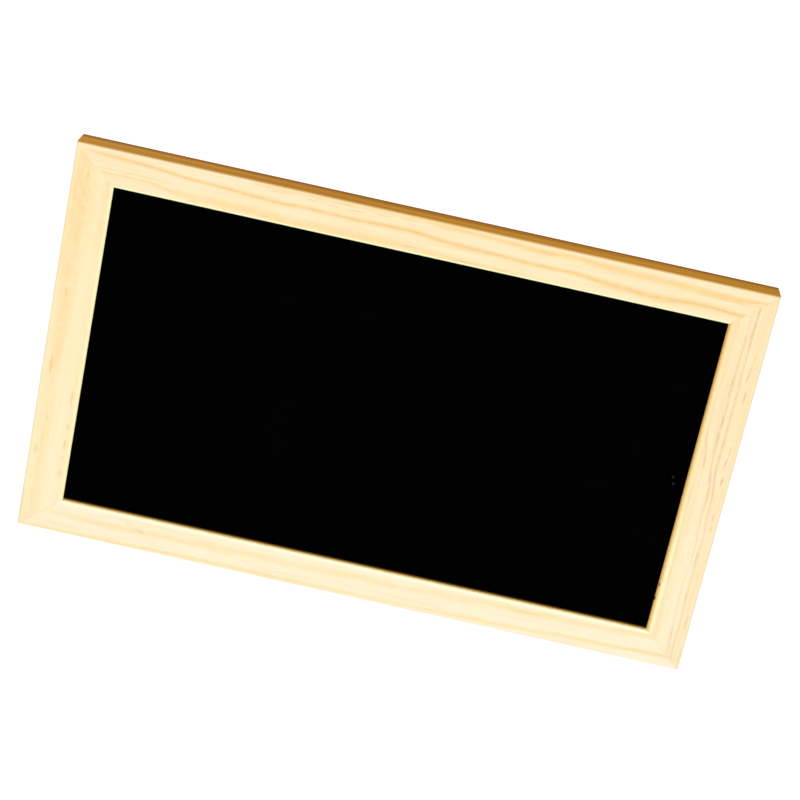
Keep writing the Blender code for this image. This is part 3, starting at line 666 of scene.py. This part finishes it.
def face_colour(graph, rail, at):
    """The planed face: its ground, then streaks, flecks, edge bands of painted highlight and shade, and
    touches of paint.
    """
    fibre = graph.noise(at.local, FACE_FIBRE)
    face = face_ground(graph, rail, at, fibre)

    breaks = graph.ease(graph.noise(at.local, STREAK_BREAKS), *BREAKS_SPAN)
    for streak in rail.streaks:
        whole = graph.plus(1.0 - streak.broken, graph.times(breaks, streak.broken))
        face = graph.blend(face, streak.colour, graph.times(streak_mask(graph, at, streak), whole))

    spot = graph.combine(at.along, at.wandering, 0.0)
    flecks = graph.most([fleck_mask(graph, spot, fleck) for fleck in rail.flecks])
    frayed = graph.plus(1.0 - FRAY_SHARE, graph.times(graph.ease(fibre, *FRAY_SPAN), FRAY_SHARE))
    face = graph.blend(face, rail.fleck_colour, graph.times(flecks, frayed))

    ragged = graph.plus(at.across, graph.swing(graph.noise(at.local, RAGGED_EDGE), RAGGED_REACH))
    for band in rail.bands:
        face = graph.blend(face, band.colour, graph.ease(ragged, band.start * MM, band.full * MM))
    spot = graph.combine(at.along, at.across, 0.0)
    for touch in rail.touches:
        face = graph.blend(face, PAINT, fleck_mask(graph, spot, touch))
    return graph.vary(face, fibre, FACE_CONTRAST)


def side_colour(graph, at, fibre):
    """Painted shade on the outer side, deeper at the back, with a growth ring cut lengthwise."""
    lines = graph.noise(at.local, SIDE_LINES)
    side = graph.tint(SHADED_SIDE, lines, RINGS_SPAN, SIDE_GRAIN_AND_SHADE, SIDE_LINES_SHARE)
    waver = graph.swing(graph.noise(at.local, SIDE_WAVER), SIDE_WAVER_REACH)
    from_ring = graph.distance(graph.plus(at.depth, waver), SIDE_RING_DEPTH)
    ring = graph.ease(from_ring, SIDE_RING_REACH, 0.0)
    side = graph.blend(side, RUST, graph.times(ring, SIDE_RING_SHARE))
    # Painted shade, deepening towards the back of the side
    side = graph.blend(side, SIDE_GRAIN_AND_SHADE, graph.ease(at.depth, *SIDE_SHADE_DEPTHS))
    return graph.vary(side, fibre, SIDE_CONTRAST)


def raw_colour(graph, at, fibre):
    """The back and the rabbet, as sawn."""
    rings = graph.noise(at.local, RAW_RINGS)
    raw = graph.tint(RAW, rings, RINGS_SPAN, RAW_DARK, RAW_RINGS_SHARE)
    marks = graph.swing(graph.noise(at.local, SAW_MARKS), SAW_CONTRAST)
    return graph.scale(raw, graph.plus(RAW_LEVEL, graph.plus(graph.swing(fibre, RAW_CONTRAST), marks)))


def pine(name, rail):
    graph = Graph(f"pine_{name}")
    at = rail_place(graph, rail)
    fibre = graph.noise(at.local, FIBRE)
    inner = graph.dot(graph.normal, rail.inward)
    outward = graph.ease(inner, *OUTER_TURN)
    face = face_colour(graph, rail, at)
    raw = raw_colour(graph, at, fibre)
    frontward = graph.ease(graph.dot(graph.normal, FRONT), *FRONT_TURN)
    colour = graph.blend(raw, face, frontward)
    colour = graph.blend(colour, face, outward)

    # The outer side turns from the face's colour to painted shade: first on the rounded arris, then on
    # the side behind it
    start = rail.finish.side_start * MM
    arris = graph.ease(at.depth, start, start + ARRIS_FADE)
    colour = graph.blend(colour, ARRIS_SHADE, graph.times(outward, arris))
    behind = graph.ease(at.depth, start + SIDE_FADE[0], start + SIDE_FADE[1])
    colour = graph.blend(colour, side_colour(graph, at, fibre), graph.times(outward, behind))
    # Painted shade on the lip's inner wall, the surfaces that face inward at the sight edge
    lip = graph.times(graph.ease(inner, *LIP_TURN), graph.ease(at.across, *LIP_EDGE))
    colour = graph.blend(colour, LIP_SHADE, lip)

    fine = graph.times(graph.noise(at.local, FINE_FIBRE), FINE_RELIEF_SHARE)
    height = graph.plus(graph.times(fibre, 1.0 - FINE_RELIEF_SHARE), fine)
    return graph.finish(PINE_SURFACE, colour, fibre, height)


# Glue in the mitres
GLUE_SURFACE = Surface(0.45, 0.15, 0.2, 0.0, 0.00005, 0.5)
GLUE_PATCHES = Noise((160, 160, 160), 3.0, 0.6)
GLUE_CONTRAST = 0.25


def glue(name, tone):
    graph = Graph(name)
    patches = graph.noise(graph.point, GLUE_PATCHES)
    return graph.finish(GLUE_SURFACE, graph.vary(tone, patches, GLUE_CONTRAST), patches, patches)


def build_glue(name, mitre):
    """A film of glue between two mitred ends."""
    corner = Vector((mitre.x, FACE_Y, mitre.z))
    diagonal = Vector((mitre.inward_x, 0, mitre.inward_z))
    half = Vector((mitre.inward_z, 0, -mitre.inward_x)).normalized() * GLUE_THICKNESS / 2
    film = bmesh.new()
    sides = []
    for shift in (half, -half):
        places = [
            corner + diagonal * across * MM + Vector((0, depth * MM, 0)) + shift
            for across, depth in GLUE_SECTION
        ]
        sides.append([film.verts.new(place) for place in places])
    film.faces.new(sides[0])
    film.faces.new(reversed(sides[1]))
    count = len(GLUE_SECTION)
    for here in range(count):
        after = (here + 1) % count
        film.faces.new((sides[0][after], sides[0][here], sides[1][here], sides[1][after]))
    bmesh.ops.recalc_face_normals(film, faces=film.faces)
    mesh = bpy.data.meshes.new(name)
    film.to_mesh(mesh)
    film.free()
    piece = bpy.data.objects.new(name, mesh)
    bpy.context.scene.collection.objects.link(piece)
    mesh.materials.append(glue(name, mitre.tone))
    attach(piece, "board")


# Writing panel: chalk paint in front with two specks of dust, given as (x, z, radius), and pressed
# fibre board behind, with the print of the screen it was pressed on
PANEL_SURFACE = Surface(0.86, 0.06, 0.004, 0.0, 0.00024, 0.8)
DUST = [(0.1890, -0.1396, 0.0014), (0.1902, -0.1447, 0.0014)]
DUST_GREY = srgb(46, 46, 46)
CHALK_BLACK = srgb(0.6, 0.6, 0.6)
CHALK_GREY = srgb(2, 2, 2)
CHALK_GRAIN = Noise((2600, 2600, 2600), 3.0, 0.6)
CHALK_CLOUD = Noise((22, 22, 22), 4.0, 0.6)
CLOUD_SPAN = (0.35, 0.75)
CHALK_CONTRAST = 0.5
BOARD_BROWN = srgb(132, 92, 60)
BOARD_PALE = srgb(158, 116, 80)
BOARD_FLECKS = Noise((760, 760, 520), 3.0, 0.7)
BOARD_PATCHES = Noise((30, 30, 30), 3.0, 0.6)
BOARD_SPAN = (0.32, 0.68)
BOARD_CONTRAST = 0.14
SCREEN_PITCH = 0.0016
SCREEN_LEVEL = 0.80
SCREEN_CONTRAST = 0.36
GRAIN_HEIGHT_SHARE = 0.3
SCREEN_HEIGHT_SHARE = 1.4


def chalk_colour(graph, grain):
    cloud = graph.noise(graph.point, CHALK_CLOUD)
    black = graph.tint(CHALK_BLACK, cloud, CLOUD_SPAN, CHALK_GREY)
    black = graph.vary(black, grain, CHALK_CONTRAST)
    flat = graph.vector("MULTIPLY", graph.point, (1, 0, 1))
    for x, z, radius in DUST:
        away = graph.vector("DISTANCE", flat, (x, 0, z))
        black = graph.blend(black, DUST_GREY, graph.ease(away, radius, 0.0))
    return black


def screen_print(graph):
    waves = []
    for axis in (RIGHT, UP):
        turn = graph.times(graph.dot(graph.point, axis), pi / SCREEN_PITCH)
        waves.append(graph.math("ABSOLUTE", graph.math("SINE", turn)))
    return graph.times(*waves)


def board_colour(graph, screen):
    board = graph.tint(BOARD_BROWN, graph.noise(graph.point, BOARD_FLECKS), BOARD_SPAN, BOARD_PALE)
    board = graph.vary(board, graph.noise(graph.point, BOARD_PATCHES), BOARD_CONTRAST)
    return graph.scale(board, graph.plus(SCREEN_LEVEL, graph.times(screen, SCREEN_CONTRAST)))


def writing_surface():
    graph = Graph("chalk_surface")
    grain = graph.noise(graph.point, CHALK_GRAIN)
    screen = screen_print(graph)
    behind = graph.ease(graph.dot(graph.normal, BACK), *BACK_TURN)
    colour = graph.blend(chalk_colour(graph, grain), board_colour(graph, screen), behind)
    print_height = graph.times(graph.times(screen, behind), SCREEN_HEIGHT_SHARE)
    height = graph.plus(graph.times(grain, GRAIN_HEIGHT_SHARE), print_height)
    return graph.finish(PANEL_SURFACE, colour, grain, height)


# Metals, with patches of their duller colour under fine scratches
Metal = namedtuple("Metal", "bright dull scratches surface")
METALS = {
    "zinc_steel": Metal(
        bright=srgb(184, 187, 192), dull=srgb(160, 163, 170),
        scratches=Noise((300, 300, 9000), 2.0, 0.6),
        surface=Surface(0.34, 0.10, 0.5, 1.0, 0.00002, 0.4),
    ),
    "spring_steel": Metal(
        bright=srgb(156, 158, 162), dull=srgb(132, 134, 140),
        scratches=Noise((5000, 300, 300), 2.0, 0.6),
        surface=Surface(0.40, 0.10, 0.5, 1.0, 0.00002, 0.4),
    ),
    "nickel_wire": Metal(
        bright=srgb(200, 197, 190), dull=srgb(182, 178, 170),
        scratches=Noise((6000, 2000, 2000), 2.0, 0.6),
        surface=Surface(0.26, 0.10, 0.5, 1.0, 0.00002, 0.4),
    ),
}
METAL_PATCHES = Noise((420, 420, 420), 3.0, 0.6)
METAL_SPAN = (0.40, 0.65)
METAL_LEVEL = 0.97
METAL_CONTRAST = 0.08


def metal(name, kind):
    graph = Graph(name)
    patches = graph.noise(graph.point, METAL_PATCHES)
    scratches = graph.noise(graph.point, kind.scratches)
    colour = graph.tint(kind.bright, patches, METAL_SPAN, kind.dull)
    colour = graph.vary(colour, scratches, METAL_CONTRAST, METAL_LEVEL)
    return graph.finish(kind.surface, colour, patches, scratches)


# Rubber
RUBBER_SURFACE = Surface(0.68, 0.08, 0.5, 0.0, 0.00005, 0.5)
RUBBER_GREY = srgb(112, 112, 114)
RUBBER_PALE = srgb(136, 136, 136)
RUBBER_GRAIN = Noise((1800, 1800, 1800), 3.0, 0.6)
RUBBER_SPAN = (0.3, 0.7)


def rubber():
    graph = Graph("grey_rubber")
    grain = graph.noise(graph.point, RUBBER_GRAIN)
    colour = graph.tint(RUBBER_GREY, grain, RUBBER_SPAN, RUBBER_PALE)
    return graph.finish(RUBBER_SURFACE, colour, grain, grain)


# Finish of every solid
def dress(name, material):
    for slot in NODES[name].material_slots:
        slot.material = material


def dress_all():
    for name, rail in RAILS.items():
        dress(name, pine(name, rail))
    dress("writing_panel", writing_surface())
    metals = {name: metal(name, kind) for name, kind in METALS.items()}
    small_parts = {
        "v_nail": metals["spring_steel"],
        "panel_tab": metals["spring_steel"],
        "hanger_strap": metals["zinc_steel"],
        "hanger_screw": metals["zinc_steel"],
        "hanger_ring": metals["nickel_wire"],
        "wall_bumper": rubber(),
    }
    for beginning, material in small_parts.items():
        for name in NODES:
            if name.startswith(beginning):
                dress(name, material)


# Stage
def grey(value):
    return (value, value, value, 1)


def seen_directly(tree):
    """1 for a ray from the camera, off a glossy surface or through a clear one, and else 0."""
    path = tree.nodes.new("ShaderNodeLightPath")
    total = path.outputs["Is Camera Ray"]
    for name in ("Is Glossy Ray", "Is Transmission Ray"):
        joined = tree.nodes.new("ShaderNodeMath")
        joined.operation = "MAXIMUM"
        tree.links.new(total, joined.inputs[0])
        tree.links.new(path.outputs[name], joined.inputs[1])
        total = joined.outputs[0]
    return total


def floor_material():
    material = bpy.data.materials.new("floor")
    material.use_nodes = True
    tree = material.node_tree
    tree.nodes.clear()
    output = tree.nodes.new("ShaderNodeOutputMaterial")
    lit = tree.nodes.new("ShaderNodeBsdfDiffuse")
    lit.inputs["Color"].default_value = grey(FLOOR_GREY)
    shown = tree.nodes.new("ShaderNodeBsdfDiffuse")
    shown.inputs["Color"].default_value = grey(FLOOR_SEEN_GREY)
    glow = tree.nodes.new("ShaderNodeEmission")
    glow.inputs["Strength"].default_value = FLOOR_SEEN_GLOW
    both = tree.nodes.new("ShaderNodeAddShader")
    pick = tree.nodes.new("ShaderNodeMixShader")
    tree.links.new(shown.outputs[0], both.inputs[0])
    tree.links.new(glow.outputs[0], both.inputs[1])
    tree.links.new(seen_directly(tree), pick.inputs[0])
    tree.links.new(lit.outputs[0], pick.inputs[1])
    tree.links.new(both.outputs[0], pick.inputs[2])
    tree.links.new(pick.outputs[0], output.inputs["Surface"])
    return material


def build_floor():
    mesh = bpy.data.meshes.new("floor")
    plane = bmesh.new()
    bmesh.ops.create_grid(plane, x_segments=1, y_segments=1, size=FLOOR_REACH)
    plane.to_mesh(mesh)
    plane.free()
    mesh.materials.append(floor_material())
    floor = bpy.data.objects.new("floor", mesh)
    floor.location = (0, 0, BOTTOM_Z - FLOOR_DROP)
    bpy.context.scene.collection.objects.link(floor)


def build_world():
    world = bpy.data.worlds.new("white_studio")
    world.use_nodes = True
    tree = world.node_tree
    background = tree.nodes["Background"]
    background.inputs["Color"].default_value = grey(1)
    strength = tree.nodes.new("ShaderNodeMapRange")
    strength.inputs["To Min"].default_value = BACKGROUND_LIGHT
    strength.inputs["To Max"].default_value = BACKGROUND_SEEN
    tree.links.new(seen_directly(tree), strength.inputs["Value"])
    tree.links.new(strength.outputs[0], background.inputs["Strength"])
    bpy.context.scene.world = world


def aimed(spot, aim, roll=0.0):
    turn = (Vector(aim) - Vector(spot)).to_track_quat("-Z", "Y").to_matrix().to_4x4()
    return Matrix.Translation(spot) @ turn @ Matrix.Rotation(roll, 4, "Z")


def build_lamps():
    for name, values in LAMPS.items():
        lamp = bpy.data.lights.new(name, "AREA")
        lamp.shape = "SQUARE"
        lamp.size = values["size"]
        lamp.energy = values["power"]
        item = bpy.data.objects.new(name, lamp)
        item.matrix_world = aimed(values["spot"], CAMERA_AIM)
        bpy.context.scene.collection.objects.link(item)


def build_camera():
    camera = bpy.data.cameras.new("camera")
    camera.sensor_width = CAMERA_SENSOR
    camera.lens = CAMERA_LENS
    item = bpy.data.objects.new("camera", camera)
    item.matrix_world = aimed(CAMERA_SPOT, CAMERA_AIM, CAMERA_ROLL)
    bpy.context.scene.collection.objects.link(item)
    bpy.context.scene.camera = item


def main():
    dress_all()
    for name, mitre in MITRES.items():
        build_glue(f"mitre_glue_{name}", mitre)
    build_floor()
    build_world()
    build_lamps()
    build_camera()
    bpy.context.scene.view_settings.view_transform = "Standard"


main()
